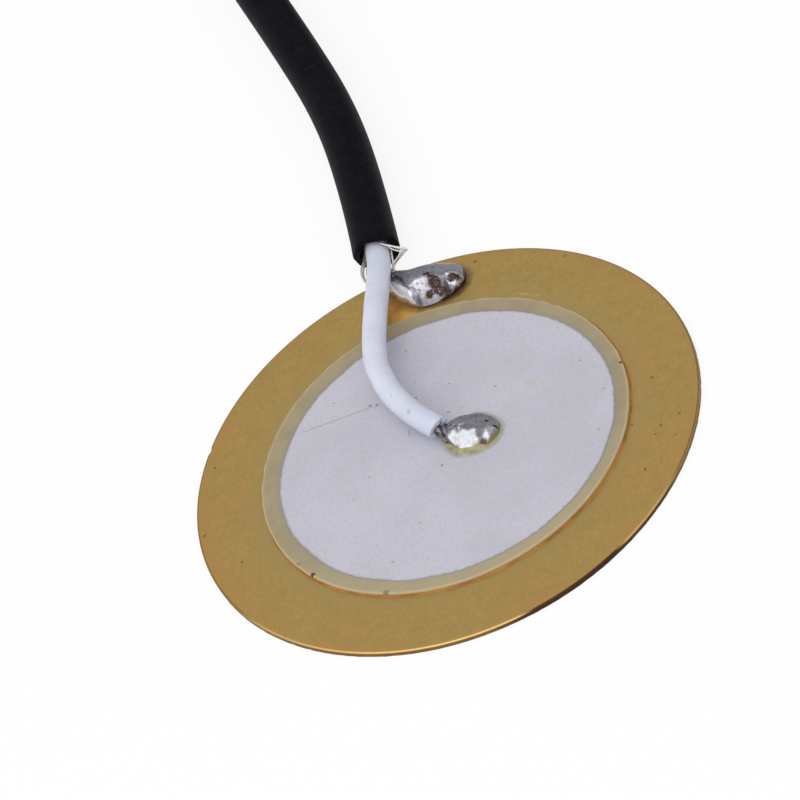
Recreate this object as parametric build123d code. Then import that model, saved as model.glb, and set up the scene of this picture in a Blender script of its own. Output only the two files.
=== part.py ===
from build123d import *
from math import cos, pi, radians, sin, tan
import os

# Piezo pickup: a brass disc carrying a silvered ceramic element, wired to a shielded lead.
# The back of the brass lies on z = 0 with its centre at the origin, +Z runs up through the
# ceramic, and the lead leaves along +Y and lies on the same surface. Lengths are in millimetres.

# Brass plate, blanked from sheet: rolled upper edge, nearly sharp lower edge
PLATE_DIAMETER = 27.0
PLATE_THICKNESS = 0.30
PLATE_UPPER_ROUND = 0.10
PLATE_LOWER_BREAK = 0.04

# Ceramic element, silvered on both faces and glued to the plate
CERAMIC_DIAMETER = 19.7
CERAMIC_THICKNESS = 0.19
CERAMIC_EDGE_BREAK = 0.03
SILVER_DIAMETER = 18.0
SILVER_THICKNESS = 0.015
SILVER_OFFSET_X = 0.11
SILVER_OFFSET_Y = -0.13
BOND_THICKNESS = 0.02
BOND_BEAD_WIDTH = 0.20
BOND_BEAD_HEIGHT = 0.11
BOND_BEAD_HOLLOW = 0.03

# Shielded lead: jacket with a hollow cut mouth, braid, core and stranded conductor
JACKET_DIAMETER = 2.4
JACKET_WALL = 0.36
MOUTH_GAP = 1.33
MOUTH_DEPTH = 2.0
BRAID_RECESS = 0.7
BRAID_CLEARANCE = 0.02
CORE_DIAMETER = 1.25
STRAND_DIAMETER = 0.16
STRAND_CLEARANCE = 0.01
STRAND_GRIP = 0.8
STRAND_REACH = 0.95
STRANDS_IN_RING = 6
WIRE_SIDES = 6

# Core's cut end beside the centre joint, clear of the silver by the lift
CORE_END_X = 0.02
CORE_END_Y = 0.52
CORE_LIFT = 0.03

# Solder joint near the middle of the silver, with its ring of flux
CENTRE_JOINT_X = 1.50
CENTRE_JOINT_Y = -0.24
CENTRE_JOINT_LENGTH = 2.9
CENTRE_JOINT_WIDTH = 2.5
CENTRE_JOINT_HEIGHT = 0.64
CENTRE_FLUX_MARGIN = 0.36
CENTRE_FLUX_ALONG = 0.07
CENTRE_FLUX_ACROSS = -0.14
FLUX_THICKNESS = 0.03

# Solder joint on the bare brass between the glue and the rim, turned a little from +Y
RIM_JOINT_TURN = 9.7
RIM_JOINT_LENGTH = 3.9
RIM_JOINT_WIDTH_SHARE = 0.786
RIM_JOINT_HEIGHT = 1.05
RIM_FLUX_MARGIN = 0.66
RIM_FLUX_WIDTH_SHARE = 0.86
RIM_FLUX_ALONG = -0.05

# Braid twisted into a pigtail that runs under the core to the rim joint
PIGTAIL_DIAMETER = 0.42
PIGTAIL_SIDE = -0.08
PIGTAIL_DROP = 0.84
PIGTAIL_GAP = 0.40
PIGTAIL_LIFT = 0.02
PIGTAIL_TWIST = 160
TWIST_SIDES = 5

# Single strands of the braid: gathered, looped under the core, kinked to the side
SHIELD_STRAND_DIAMETER = 0.11
STRAND_LEAD_OUT = 0.15
GATHERED_ANGLES = (-45, -90, -135)
GATHERED_SEAT_ANGLES = (25, -90, -205)
LOOPED_ANGLES = (-165, -150)
KINKED_ANGLES = (50, 85)

# Route of the lead over the surface, as steps to the side and along from the jacket's mouth
LEAD_STEPS = ((0.33, 5.2), (-0.05, 6.5), (-1.05, 7.0), (-1.50, 8.4), (-0.98, 8.0))

# Flat coil of the lead's spare length, its tie, and the stripped far end
COIL_RADIUS = 15.4
COIL_HALF_TURNS = 6
TIE_WIDTH = 2.2
TIE_THICKNESS = 0.35
TIE_ROUND = 0.5
TAIL_CORE_LENGTH = 4.5
TAIL_CORE_BEND = 32
TAIL_CONDUCTOR_LENGTH = 3.0
TAIL_SHIELD_LENGTH = 4.5
TAIL_SHIELD_DIAMETER = 0.5
TAIL_SHIELD_GAP = 0.12
TAIL_SHIELD_BEND = 48
TAIL_TWIST = 300

# How far a cutting body runs past the face that it cuts
CUT_OVERRUN = 1.0

# Heights and radii that follow from the sizes above
plate_radius = PLATE_DIAMETER / 2
ceramic_radius = CERAMIC_DIAMETER / 2
lower_silver_base = PLATE_THICKNESS + BOND_THICKNESS
ceramic_base = lower_silver_base + SILVER_THICKNESS
ceramic_top = ceramic_base + CERAMIC_THICKNESS
element_top = ceramic_top + SILVER_THICKNESS
jacket_radius = JACKET_DIAMETER / 2
core_radius = CORE_DIAMETER / 2
bore_radius = jacket_radius - JACKET_WALL
conductor_diameter = 3 * STRAND_DIAMETER + 2 * STRAND_CLEARANCE


def lead_route():
    """Points of the lead on the surface, from the jacket's mouth to the start of the coil."""
    points = [Vector(0, plate_radius + MOUTH_GAP, jacket_radius)]
    for side, along in LEAD_STEPS:
        points.append(points[-1] + Vector(side, along, 0))
    return points


# Frame of the jacket's mouth: x to the right, y up, z out of the mouth
mouth = lead_route()[0]
mouth_inward = (lead_route()[1] - mouth).normalized()
mouth_frame = Plane(
    origin=mouth, x_dir=(mouth_inward.Y, -mouth_inward.X, 0), z_dir=mouth_inward * -1
)

# Frame of the centre joint: x from the core's end along the joint, z out of the silver
core_end = Vector(CORE_END_X, CORE_END_Y, element_top + CORE_LIFT + core_radius)
centre_frame = Plane(
    origin=(CENTRE_JOINT_X, CENTRE_JOINT_Y, element_top),
    x_dir=(CENTRE_JOINT_X - CORE_END_X, CENTRE_JOINT_Y - CORE_END_Y, 0),
    z_dir=(0, 0, 1),
)

# Frame of the rim joint, half way across the brass margin: x along the rim, y outwards, z up.
# The joint keeps as far from the rim as the glue bead keeps it from the ceramic.
brass_margin = plate_radius - ceramic_radius
bare_brass = brass_margin - 2 * BOND_BEAD_WIDTH
rim_width = RIM_JOINT_WIDTH_SHARE * bare_brass
rim_outward = Vector(sin(radians(RIM_JOINT_TURN)), cos(radians(RIM_JOINT_TURN)), 0)
rim_middle = rim_outward * (ceramic_radius + brass_margin / 2)
rim_frame = Plane(
    origin=(rim_middle.X, rim_middle.Y, PLATE_THICKNESS),
    x_dir=(rim_outward.Y, -rim_outward.X, 0),
    z_dir=(0, 0, 1),
)


def in_rim_joint(along_share, across_share, height):
    """Point placed by shares of the rim joint's half length and half width, at a height on it."""
    return rim_frame.from_local_coords(
        (along_share * RIM_JOINT_LENGTH / 2, across_share * rim_width / 2, height)
    )


# Pigtail line: from below the core, outside the mouth, up on to the brass beside the rim joint
pigtail_radius = PIGTAIL_DIAMETER / 2
pigtail_seat_shares = (-0.94, 1.20)
pigtail_start = mouth_frame.from_local_coords((PIGTAIL_SIDE, -PIGTAIL_DROP, PIGTAIL_GAP))
pigtail_end = in_rim_joint(*pigtail_seat_shares, pigtail_radius + PIGTAIL_LIFT)
pigtail_heading = (pigtail_end - pigtail_start).normalized()


def disc(diameter, thickness, base, place=(0, 0)):
    """Flat round plate with its lower face at the given height."""
    body = Cylinder(diameter / 2, thickness, align=(Align.CENTER, Align.CENTER, Align.MIN))
    return Pos(place[0], place[1], base) * body


def eased_radii(points):
    """Largest bend at each corner of a route: 0.45 of the shorter run over the half turn's tangent."""
    bend_share = 0.45
    radii = []
    for before, corner, after in zip(points, points[1:], points[2:]):
        turn = radians((corner - before).get_angle(after - corner))
        shorter_run = min((corner - before).length, (after - corner).length)
        radii.append(bend_share * shorter_run / tan(turn / 2))
    return radii


def follow(points, section):
    """Section carried along straight runs joined by tangent arcs, with the path that it follows."""
    path = FilletPolyline(*points, radius=eased_radii(points))
    return sweep(Plane(origin=path @ 0, z_dir=path % 0) * section, path), path


def solder_body(frame, length, width, height, station_shares):
    """Frozen drop of solder: oval sections carried along a line, flat where it wets the metal.

    Each station gives shares: its place along the half length, its width, its height and its
    shift to the side. The ovals dip below the wetted face, and the dip is cut off flat.
    """
    belly_share = 0.22
    sections = []
    for along_share, width_share, height_share, shift_share in station_shares:
        crown = height * height_share
        middle = frame.from_local_coords(
            (along_share * length / 2, shift_share * width / 2, belly_share * crown)
        )
        across = Plane(origin=middle, x_dir=frame.y_dir, z_dir=frame.x_dir)
        sections.append(across * Ellipse(width_share * width / 2, (1 - belly_share) * crown))
    return split(loft(sections), bisect_by=frame, keep=Keep.TOP)


def flux_pad(frame, length, width, along, across):
    """Thin oval film of flux, shifted from the middle of its joint."""
    return extrude(frame * Pos(along, across) * Ellipse(length / 2, width / 2), FLUX_THICKNESS)


def twisted_cord(start, end, diameter, twist):
    """Strands twisted into one cord: a many-sided section turned as it runs between two points."""
    axis = end - start
    section = (Plane(origin=start, z_dir=axis) * RegularPolygon(diameter / 2, TWIST_SIDES)).face()
    return Solid.extrude_linear_with_rotation(section, start, axis, twist)


def brass_plate():
    """Blanked disc."""
    plate = disc(PLATE_DIAMETER, PLATE_THICKNESS, 0)
    plate = fillet(plate.edges().group_by(Axis.Z)[-1], PLATE_UPPER_ROUND)
    return chamfer(plate.edges().group_by(Axis.Z)[0], PLATE_LOWER_BREAK)


def bond_layer():
    """Glue film under the element, with the hollow bead that squeezed out round its edge."""
    bead_foot = Vector(ceramic_radius + BOND_BEAD_WIDTH, 0, PLATE_THICKNESS)
    bead_top = Vector(ceramic_radius, 0, PLATE_THICKNESS + BOND_BEAD_HEIGHT)
    slope = bead_top - bead_foot
    bead_middle = (bead_foot + bead_top) / 2
    bead_middle += Vector(-slope.Z, 0, slope.X).normalized() * BOND_BEAD_HOLLOW
    film_corner = Vector(ceramic_radius, 0, lower_silver_base)
    film_top = Vector(0, 0, lower_silver_base)
    film_base = Vector(0, 0, PLATE_THICKNESS)
    outline = Polyline(bead_top, film_corner, film_top, film_base, bead_foot)
    bead = ThreePointArc(bead_foot, bead_middle, bead_top)
    return revolve(make_face([*outline.edges(), bead]), Axis.Z)


def ceramic_disc():
    """Lapped ceramic with its upper edge just broken."""
    ceramic = disc(CERAMIC_DIAMETER, CERAMIC_THICKNESS, ceramic_base)
    return chamfer(ceramic.edges().group_by(Axis.Z)[-1], CERAMIC_EDGE_BREAK)


def centre_solder():
    """Rounded drop with a narrow tongue towards the core's end."""
    station_shares = (
        (-1.00, 0.24, 0.60, 0.0),
        (-0.82, 0.52, 0.86, 0.0),
        (-0.40, 0.90, 1.00, 0.0),
        (0.10, 1.00, 1.00, 0.0),
        (0.55, 0.85, 0.86, 0.0),
        (0.86, 0.52, 0.54, 0.0),
        (1.00, 0.20, 0.22, 0.0),
    )
    sizes = (CENTRE_JOINT_LENGTH, CENTRE_JOINT_WIDTH, CENTRE_JOINT_HEIGHT)
    return solder_body(centre_frame, *sizes, station_shares)


def rim_solder():
    """Long leaf-shaped drop along the rim, drawn out at one end to a neck round the pigtail."""
    station_shares = (
        (-1.10, 0.28, 0.42, 0.10),
        (-0.84, 0.70, 0.78, 0.02),
        (-0.35, 1.00, 1.00, -0.06),
        (0.15, 0.96, 0.98, -0.04),
        (0.58, 0.76, 0.82, 0.08),
        (0.88, 0.44, 0.52, 0.18),
        (1.00, 0.18, 0.24, 0.22),
    )
    sizes = (RIM_JOINT_LENGTH, rim_width, RIM_JOINT_HEIGHT)
    body = solder_body(rim_frame, *sizes, station_shares)
    neck_root_shares = (-0.62, 0.25)
    neck_height_share = 0.38
    neck_root = in_rim_joint(*neck_root_shares, neck_height_share * RIM_JOINT_HEIGHT)
    neck_line = neck_root - pigtail_end
    neck_growth_shares = (1.0, 1.7, 2.0)
    headings = (pigtail_heading, neck_line, neck_line)
    sections = []
    for step, growth_share in enumerate(neck_growth_shares):
        middle = pigtail_end + neck_line * (step / (len(headings) - 1))
        across = Plane(origin=middle, z_dir=headings[step])
        sections.append(across * Circle(growth_share * pigtail_radius))
    return body + split(loft(sections), bisect_by=rim_frame, keep=Keep.TOP)


def core_route():
    """Route of the core from the bottom of the mouth, over the ceramic, to the centre joint.

    Each middle point is a share of the way from the mouth to the core's end, with its bow to the
    side as a share of that way and its rise as a share of the core's diameter.
    """
    way_shares = (0.294, 0.625, 0.851)
    bow_shares = (-0.052, -0.138, -0.099)
    rise_shares = (0.60, 0.68, 0.42)
    straight_share = 0.080
    way = core_end - mouth
    straight_end = mouth - mouth_inward * (straight_share * way.length)
    points = [mouth + mouth_inward * MOUTH_DEPTH, straight_end]
    for way_share, bow_share, rise_share in zip(way_shares, bow_shares, rise_shares):
        offset = Vector(bow_share * way.length, 0, rise_share * CORE_DIAMETER)
        points.append(mouth + way * way_share + offset)
    return points + [core_end]


def core_end_plane(core_path):
    """Plane across the core where the bared strands begin, facing the solder."""
    heading = (core_path % 1).normalized()
    return Plane(origin=core_end - heading * STRAND_GRIP, z_dir=heading)


def conductor_strands(core_path):
    """Six tinned strands round a seventh, from inside the core's end into the solder."""
    strand = RegularPolygon(STRAND_DIAMETER / 2, WIRE_SIDES)
    ring = PolarLocations(STRAND_DIAMETER + STRAND_CLEARANCE, STRANDS_IN_RING)
    return extrude(core_end_plane(core_path) * (strand + ring * strand), STRAND_GRIP + STRAND_REACH)


def core_socket(core_path):
    """Round space that the strands fill inside the core's end."""
    mouth_circle = core_end_plane(core_path) * Circle(conductor_diameter / 2)
    return extrude(mouth_circle, STRAND_GRIP + CUT_OVERRUN)


def cable_jacket():
    """Jacket from its cut mouth to the coil, hollow where the braid and core were freed."""
    jacket, path = follow(lead_route(), Circle(jacket_radius))
    bore = extrude(mouth_frame.offset(-MOUTH_DEPTH) * Circle(bore_radius), MOUTH_DEPTH + CUT_OVERRUN)
    return jacket - bore, path


def shield_braid():
    """Cut end of the braid between the core and the jacket, set back inside the mouth."""
    sleeve = Circle(bore_radius - BRAID_CLEARANCE) - Circle(core_radius + BRAID_CLEARANCE)
    return extrude(mouth_frame.offset(-MOUTH_DEPTH) * sleeve, MOUTH_DEPTH - BRAID_RECESS)


def strand_start(angle):
    """Where a strand leaves the braid at an angle round the core, and where it clears the mouth."""
    ring = (core_radius + bore_radius) / 2
    side = ring * cos(radians(angle))
    height = ring * sin(radians(angle))
    inside = mouth_frame.from_local_coords((side, height, -BRAID_RECESS))
    return [inside, mouth_frame.from_local_coords((side, height, STRAND_LEAD_OUT))]


def by_the_mouth(right_share, up_share, out_share):
    """Point placed by shares of the jacket's diameter from the middle of its mouth."""
    return mouth_frame.from_local_coords(
        (right_share * JACKET_DIAMETER, up_share * JACKET_DIAMETER, out_share * JACKET_DIAMETER)
    )


def pigtail_seat(angle):
    """Point on the pigtail's first face, on the ring that its strands make."""
    ring_share = 0.55
    ring = ring_share * pigtail_radius
    sideways = Vector(-pigtail_heading.Y, pigtail_heading.X, 0).normalized()
    upward = pigtail_heading.cross(sideways) * -1
    return pigtail_start + sideways * (ring * cos(radians(angle))) + upward * (ring * sin(radians(angle)))


def pigtail_and_strands():
    """Braid twisted into a pigtail, and the loose strands beside it, each a bent wire."""
    courses = []
    for angle, seat_angle in zip(GATHERED_ANGLES, GATHERED_SEAT_ANGLES):
        courses.append(strand_start(angle) + [pigtail_seat(seat_angle)])
    loop_shares = (
        ((-0.42, -0.12, 0.46), (-0.30, -0.30, 0.88)),
        ((-0.34, -0.26, 0.42), (-0.18, -0.335, 0.74)),
    )
    loop_seat_shares = ((-0.80, 0.20, 0.30), (-0.74, 0.62, 0.30))
    for angle, shares, seat in zip(LOOPED_ANGLES, loop_shares, loop_seat_shares):
        seat_point = in_rim_joint(seat[0], seat[1], seat[2] * RIM_JOINT_HEIGHT)
        courses.append(strand_start(angle) + [by_the_mouth(*share) for share in shares] + [seat_point])
    kink_shares = ((0.66, 0.12, 0.42), (0.56, 0.26, 0.34))
    kink_seat_shares = ((-0.76, 0.86, 0.50), (-0.66, 0.80, 0.56))
    for angle, share, seat in zip(KINKED_ANGLES, kink_shares, kink_seat_shares):
        seat_point = in_rim_joint(seat[0], seat[1], seat[2] * RIM_JOINT_HEIGHT)
        courses.append(strand_start(angle) + [by_the_mouth(*share), seat_point])
    section = RegularPolygon(SHIELD_STRAND_DIAMETER / 2, WIRE_SIDES)
    pigtail = twisted_cord(pigtail_start, pigtail_end, PIGTAIL_DIAMETER, PIGTAIL_TWIST)
    return pigtail, [follow(course, section)[0] - pigtail for course in courses]


# Coil frame: after the lead's last run the turns go clockwise round the coil's middle
lead_end = lead_route()[-1]
lead_heading = (lead_end - lead_route()[-2]).normalized()
lead_left = Vector(-lead_heading.Y, lead_heading.X, 0)
coil_middle = lead_end - lead_left * COIL_RADIUS - Vector(0, 0, jacket_radius)


def half_turn(index, outward):
    """Half a turn of the flat spiral, whose two middles lie half a diameter apart."""
    radius = COIL_RADIUS - index * jacket_radius + outward
    middle = coil_middle - lead_left * (jacket_radius * (index % 2))

    def at(half_turns):
        turn = half_turns * pi
        return middle + (lead_left * cos(turn) + lead_heading * sin(turn)) * radius

    middle_share = 0.5
    return ThreePointArc(at(index), at(index + middle_share), at(index + 1))


def closed_turn(index, outward):
    """Area inside one whole turn of the spiral, closed by a step of one diameter."""
    turn = [half_turn(index, outward), half_turn(index + 1, outward)]
    return make_face([*turn, Line(turn[1] @ 1, turn[0] @ 0)])


def tie_band(height, round_radius):
    """Block across the turns at the far side of the coil, with its upper corners rounded."""
    turns_across = COIL_HALF_TURNS // 2
    length = turns_across * JACKET_DIAMETER + 2 * TIE_THICKNESS
    middle = coil_middle + lead_heading * (COIL_RADIUS - (turns_across - 1) * jacket_radius)
    outline = Rectangle(length, height, align=(Align.CENTER, Align.MIN))
    if round_radius:
        outline = fillet(outline.vertices().group_by(Axis.Y)[-1], round_radius)
    across = Plane(origin=middle - lead_left * (TIE_WIDTH / 2), x_dir=lead_heading * -1, z_dir=lead_left)
    return extrude(across * outline, TIE_WIDTH)


def cable_coil():
    """Wound turns as one closed body, pressed in where the tie passes under them."""
    turns = closed_turn(0, jacket_radius) - closed_turn(COIL_HALF_TURNS - 2, -jacket_radius)
    return extrude(turns, JACKET_DIAMETER, dir=(0, 0, 1)) - tie_band(TIE_THICKNESS, 0)


def coil_tie(coil):
    """Band drawn tight round the turns."""
    return tie_band(JACKET_DIAMETER + TIE_THICKNESS, TIE_ROUND) - coil


def tail_pieces(coil):
    """Stripped far end: the core with its conductor, and the braid twisted to one side."""
    last_turn = half_turn(COIL_HALF_TURNS - 1, 0)
    start = last_turn @ 1 + Vector(0, 0, jacket_radius)
    heading = last_turn % 1
    inward = Vector(heading.Y, -heading.X, 0)

    def bent(degrees):
        return heading * cos(radians(degrees)) + inward * sin(radians(degrees))

    bend_share = 0.45
    bend = start + heading * (bend_share * TAIL_CORE_LENGTH)
    core_tip = bend + bent(TAIL_CORE_BEND) * ((1 - bend_share) * TAIL_CORE_LENGTH)
    core = follow([start, bend, core_tip], Circle(core_radius))[0]
    conductor_tip = core_tip + bent(TAIL_CORE_BEND) * TAIL_CONDUCTOR_LENGTH
    conductor = twisted_cord(core_tip, conductor_tip, conductor_diameter, TAIL_TWIST)
    shield_root = start + inward * (core_radius + TAIL_SHIELD_GAP + TAIL_SHIELD_DIAMETER / 2)
    shield_hidden = shield_root - bent(TAIL_SHIELD_BEND) * TAIL_SHIELD_DIAMETER
    shield_tip = shield_root + bent(TAIL_SHIELD_BEND) * TAIL_SHIELD_LENGTH
    shield = twisted_cord(shield_hidden, shield_tip, TAIL_SHIELD_DIAMETER, TAIL_TWIST)
    return core, conductor, shield - coil


def build_parts():
    """All pieces by name, each in its place."""
    core, core_path = follow(core_route(), Circle(core_radius))
    strands = conductor_strands(core_path)
    centre = centre_solder() - strands
    centre_oval = (CENTRE_JOINT_LENGTH + CENTRE_FLUX_MARGIN, CENTRE_JOINT_WIDTH + CENTRE_FLUX_MARGIN)
    centre_film = flux_pad(centre_frame, *centre_oval, CENTRE_FLUX_ALONG, CENTRE_FLUX_ACROSS)
    pigtail, braid_strands = pigtail_and_strands()
    rim = rim_solder() - braid_strands
    rim_flux_width = rim_width + RIM_FLUX_WIDTH_SHARE * (bare_brass - rim_width)
    rim_oval = (RIM_JOINT_LENGTH + RIM_FLUX_MARGIN, rim_flux_width)
    rim_film = flux_pad(rim_frame, *rim_oval, RIM_FLUX_ALONG, 0)
    silver_place = (SILVER_OFFSET_X, SILVER_OFFSET_Y)
    jacket, lead_path = cable_jacket()
    mouth_volume = pi * bore_radius**2 * MOUTH_DEPTH
    lead_volume = pi * jacket_radius**2 * lead_path.length - mouth_volume
    print("lead volume", round(jacket.volume, 2), "section times length", round(lead_volume, 2))
    coil = cable_coil()
    tail_core, tail_conductor, tail_shield = tail_pieces(coil)
    return {
        "brass_plate": brass_plate(),
        "bond_layer": bond_layer(),
        "lower_electrode": disc(CERAMIC_DIAMETER, SILVER_THICKNESS, lower_silver_base),
        "ceramic_disc": ceramic_disc(),
        "upper_electrode": disc(SILVER_DIAMETER, SILVER_THICKNESS, ceramic_top, silver_place),
        "centre_solder": centre,
        "centre_flux": centre_film - centre,
        "rim_solder": rim,
        "rim_flux": rim_film - rim,
        "conductor_strands": strands,
        "core_insulation": core - core_socket(core_path),
        "shield_braid": shield_braid(),
        "shield_pigtail": pigtail,
        "shield_strands": Compound(children=braid_strands),
        "cable_jacket": jacket,
        "cable_coil": coil,
        "coil_tie": coil_tie(coil),
        "tail_core": tail_core,
        "tail_conductor": tail_conductor,
        "tail_shield": tail_shield,
    }


os.makedirs("parts", exist_ok=True)
for node, shape in build_parts().items():
    export_step(shape, f"parts/{node}.step")
print("core bends", [round(radius, 2) for radius in eased_radii(core_route())])
print("lead bends", [round(radius, 1) for radius in eased_radii(lead_route())])
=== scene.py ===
from functools import partial

import bmesh
import bpy
import numpy as np
from mathutils import Matrix, Vector
from numpy import array, clip, concatenate, cos, exp, hypot, linspace, maximum, pi, radians, sin, stack


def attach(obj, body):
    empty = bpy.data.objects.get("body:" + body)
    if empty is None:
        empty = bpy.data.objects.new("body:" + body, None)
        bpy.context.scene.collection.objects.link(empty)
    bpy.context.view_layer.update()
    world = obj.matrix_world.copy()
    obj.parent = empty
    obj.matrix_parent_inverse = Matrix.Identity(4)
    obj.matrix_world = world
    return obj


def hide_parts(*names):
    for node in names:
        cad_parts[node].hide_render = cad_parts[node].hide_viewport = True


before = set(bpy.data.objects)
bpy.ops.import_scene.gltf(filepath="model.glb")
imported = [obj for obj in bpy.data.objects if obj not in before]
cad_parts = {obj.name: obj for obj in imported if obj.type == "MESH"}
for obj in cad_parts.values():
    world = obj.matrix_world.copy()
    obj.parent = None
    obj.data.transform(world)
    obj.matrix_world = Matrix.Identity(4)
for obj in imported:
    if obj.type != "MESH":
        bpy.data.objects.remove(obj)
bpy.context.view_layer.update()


# Brass plate: a disc punched from rolled sheet brass, the ground side, which bends with the ceramic.
# The punch rolled its upper edge over and left a ragged side with a nick in it, and the iron, the
# glue and handling left tarnish, a golden stain, a thread of glue and specks. The side is darkened by
# tarnish and painted shade, most on the near side, where the rolled edge has a painted highlight; the
# glue thread carries a painted glint, and the stain is painted lighter where the core shades it.

class Value:
    """One output of a shader node, which takes part in sums as a number does."""

    def __init__(self, tree, output):
        self.tree, self.output = tree, output

    def node(self, kind, settings=None, inputs=None, output=0):
        """Any other node: its settings are set first, then each named socket gets a value or a link."""
        made = self.tree.nodes.new("ShaderNode" + kind)
        for name, value in (settings or {}).items():
            setattr(made, name, value)
        for socket, value in (inputs or {}).items():
            if isinstance(value, Value):
                self.tree.links.new(value.output, made.inputs[socket])
            else:
                made.inputs[socket].default_value = value
        return Value(self.tree, made.outputs[output])

    def maths(self, operation, first, second=0):
        return self.node("Math", {"operation": operation}, {0: first, 1: second})

    def __add__(self, other):
        return self.maths("ADD", self, other)

    def __sub__(self, other):
        return self.maths("SUBTRACT", self, other)

    def __rsub__(self, other):
        return self.maths("SUBTRACT", other, self)

    def __mul__(self, other):
        return self.maths("MULTIPLY", self, other)

    __radd__, __rmul__ = __add__, __mul__

    def most(self, other):
        """The larger of this and another value."""
        return self.maths("MAXIMUM", self, other)

    def step(self, low, high):
        """Zero below low, one above high, with a smooth change between."""
        ends = {"Value": self, "From Min": low, "From Max": high}
        return self.node("MapRange", {"interpolation_type": "SMOOTHSTEP"}, ends)

    def blend(self, low, high):
        """Colour low where this is zero and colour high where it is one; three levels are a screen's."""
        low, high = (tint(*c) if isinstance(c, tuple) and len(c) == 3 else c for c in (low, high))
        return self.node("Mix", {"data_type": "RGBA"}, {0: self, 6: low, 7: high}, 2)

    def vector(self, operation, other=(0, 0, 0), output="Vector"):
        return self.node("VectorMath", {"operation": operation}, {0: self, 1: other}, output)

    def toward(self, way):
        """How far this place reaches in a direction."""
        return self.vector("DOT_PRODUCT", way, "Value")

    def part(self, axis):
        """This place's X, Y or Z."""
        return self.node("SeparateXYZ", {}, {"Vector": self}, axis)

    def from_axis(self):
        """Distance of this place from the disc's axis, in metres."""
        return self.vector("MULTIPLY", (1, 1, 0)).vector("LENGTH", output="Value")

    def mask(self, name):
        """Mask that skin() stored with the points of the mesh."""
        return self.node("Attribute", {"attribute_name": name}, {}, "Fac")

    def noise(self, scale, detail=3, roughness=0.55):
        """Cloudy noise between about 0.3 and 0.7, with scale spots to a metre."""
        look = {"Vector": self, "Scale": scale, "Detail": detail, "Roughness": roughness}
        return self.node("TexNoise", {}, look)

    def bump(self, depth, strength):
        return self.node("Bump", {}, {"Height": self, "Distance": depth, "Strength": strength}, "Normal")

    def spots(self, places, uneven_by=0.2):
        """One inside each spot (x, y, radius in millimetres), which noise makes uneven."""
        flat = self.vector("MULTIPLY", (1000, 1000, 0))
        shake = flat.node("TexNoise", {}, {"Vector": flat, "Scale": 6, "Detail": 2}, "Color")
        shake = shake.vector("SUBTRACT", (0.5, 0.5, 0.5)).vector("MULTIPLY", (uneven_by, uneven_by, 0))
        uneven = flat.vector("ADD", shake)
        inside_any = 0
        for x, y, radius in places:
            away = uneven.vector("DISTANCE", (x, y, 0), "Value")
            inside_any = (1 - away.step(0.55 * radius, radius)) + inside_any
        return inside_any

    def streak(self, start, end, width):
        """One along a thin straight mark between two places in millimetres, fading at its ends."""
        run = Vector(end) - Vector(start)
        length, (x, y), taper = run.length, run.normalized(), 4 * width
        flat = self.vector("MULTIPLY", (1000, 1000, 0)).vector("SUBTRACT", (*start, 0))
        ahead, aside = flat.toward((x, y, 0)), flat.toward((-y, x, 0))
        thin = 1 - aside.maths("ABSOLUTE", aside).step(0.4 * width, width)
        return thin * ahead.step(0, taper) * (1 - ahead.step(length - taper, length))


def start_finish(name, **constants):
    """New finish with its shader's constant sockets set, and the place on the object."""
    finish = bpy.data.materials.new(name)
    finish.use_nodes = True
    tree = finish.node_tree
    shader = tree.nodes["Principled BSDF"]
    for socket, value in constants.items():
        shader.inputs[socket.replace("_", " ")].default_value = value
    return finish, Value(tree, tree.nodes.new("ShaderNodeTexCoord").outputs["Object"])


def paint(finish, **values):
    """Links what varies over a surface to its shader's sockets."""
    sockets = finish.node_tree.nodes["Principled BSDF"].inputs
    for socket, value in values.items():
        value.tree.links.new(value.output, sockets[socket.replace("_", " ")])


def tint(*levels):
    """Colour as a screen shows it, 0 to 255, as the light it stands for."""
    shares = [level / 255 for level in levels]
    return tuple(s / 12.92 if s <= 0.04045 else ((s + 0.055) / 1.055) ** 2.4 for s in shares) + (1,)


def coated(ground, *coats):
    """Colour with coats over it: each is a mask, the share that it covers, and its colour."""
    for mask, cover, colour in coats:
        ground = (cover * mask).blend(ground, colour)
    return ground


def waver(turn, low, high, seed):
    """Uneven line: waves from low to high in a full turn, each with a random phase, about one high."""
    counts = np.arange(low, high + 1)
    phases = np.random.default_rng(seed).uniform(0, 2 * pi, counts.size)
    waves = cos(np.multiply.outer(counts, turn) + phases.reshape((-1,) + (1,) * np.ndim(turn)))
    return waves.sum(axis=0) / np.sqrt(counts.size / 2)


def round_turn(count):
    """Angles of count points round a circle."""
    return linspace(0, 2 * pi, count, endpoint=False)


full_turn = round_turn(720)


def turned(profile, swell=0, centre=(0, 0)):
    """Grid of a turned shape: each row is the circle that one point (radius, height) of the profile
    sweeps, with a swell of its radius that may differ round the circle."""
    radius = profile[:, :1] + swell + 0 * full_turn
    height = profile[:, 1:] + 0 * full_turn
    x, y = centre[0] + radius * cos(full_turn), centre[1] + radius * sin(full_turn)
    return stack([x, y, height], axis=-1)


def placed(name, data):
    """New object in the scene, at the origin."""
    made = bpy.data.objects.new(name, data)
    bpy.context.scene.collection.objects.link(made)
    return made


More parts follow.
